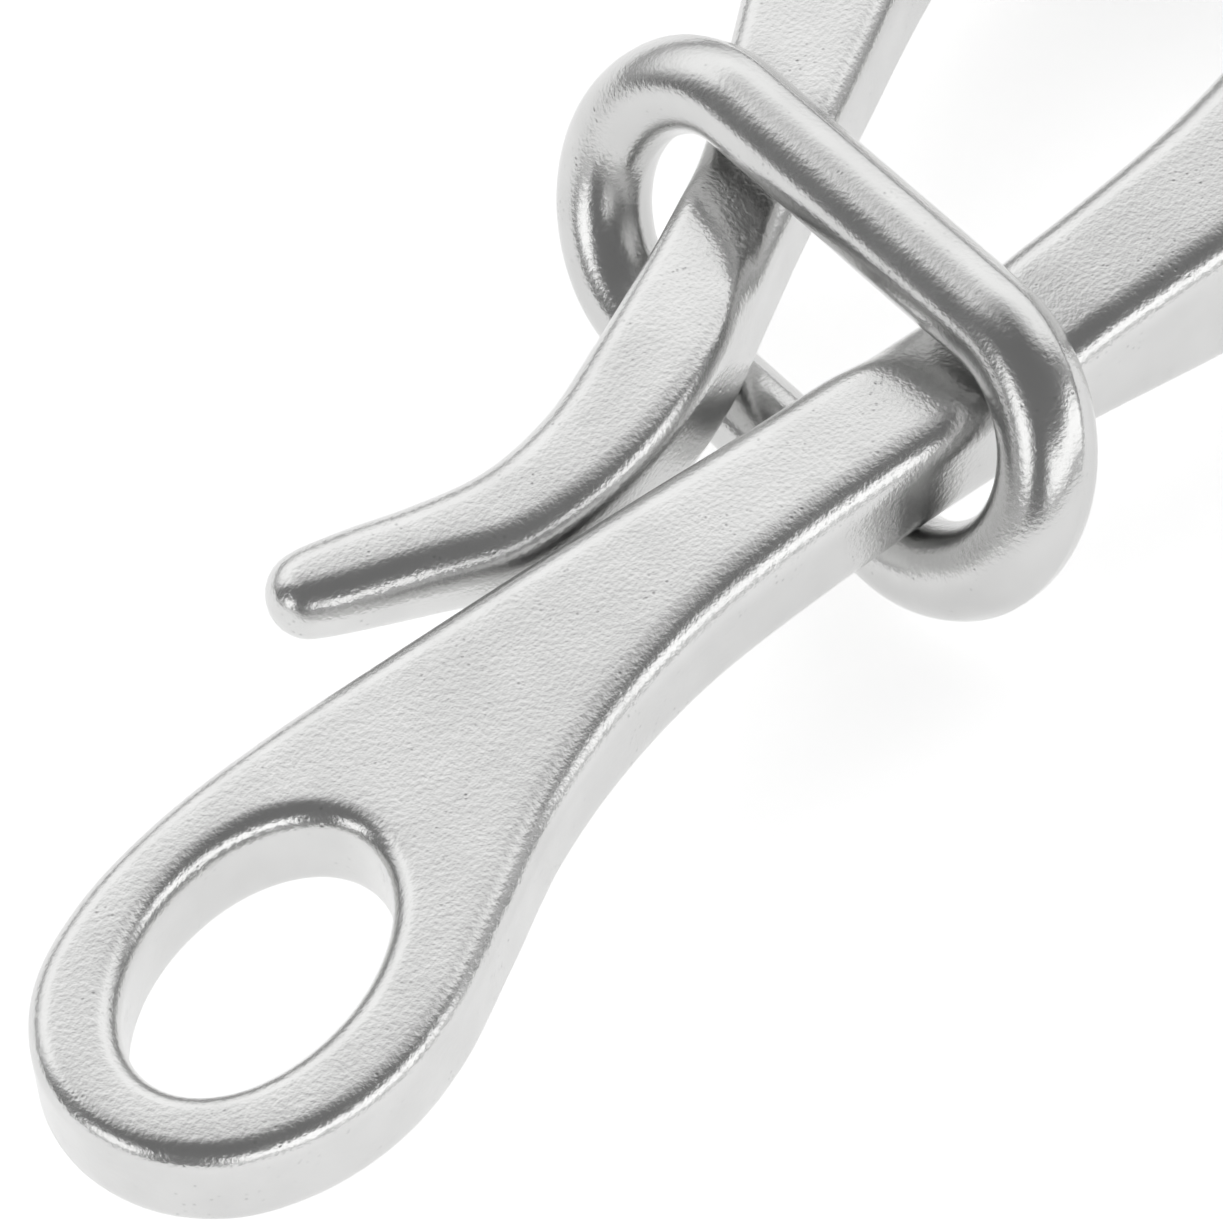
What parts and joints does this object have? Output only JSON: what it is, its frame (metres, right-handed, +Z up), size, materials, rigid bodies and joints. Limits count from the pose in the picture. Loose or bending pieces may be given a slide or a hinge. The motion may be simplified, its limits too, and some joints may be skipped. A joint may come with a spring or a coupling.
{
  "type": "pelican hook",
  "caption": "Cast stainless slip hook: a shank with an oval eye, a tongue hinged in the shank's fork and bowed back along it, and an oval ring that locks the tongue shut.",
  "frame": {"origin": "middle of the box's lowest plane, under the locked hook lying flat", "axes": "+X along the hook from the eye to the hinge, +Y across it from the shank to the tongue, +Z up through the thickness, parallel to the hinge pin"},
  "size_m": [0.1134, 0.0524, 0.0179],
  "materials": {
    "cast_steel": "tumble-polished casting, satin flats with fine pits and brighter rounded edges",
    "ring_steel": "polished round bar, smooth, with a faint lengthwise parting line",
    "rivet_steel": "polished domed rivet heads with light turning marks"
  },
  "bodies": {
    "shank": {"shank_body": "cast_steel", "hinge_pin": "rivet_steel"},
    "tongue": {"hook_tongue": "cast_steel"},
    "ring": {"retaining_ring": "ring_steel"}
  },
  "joints": [
    {"name": "tongue_hinge", "type": "hinge", "parent": "shank", "child": "tongue", "pos_m": [0.04344, -0.0075, 0.00895], "axis": [0, 0, -1], "range_deg": [0, 0.5]},
    {"name": "ring_slide", "type": "slide", "parent": "shank", "child": "ring", "axis": [-0.9766, -0.2149, 0], "range_m": [0, 0.036]}
  ]
}
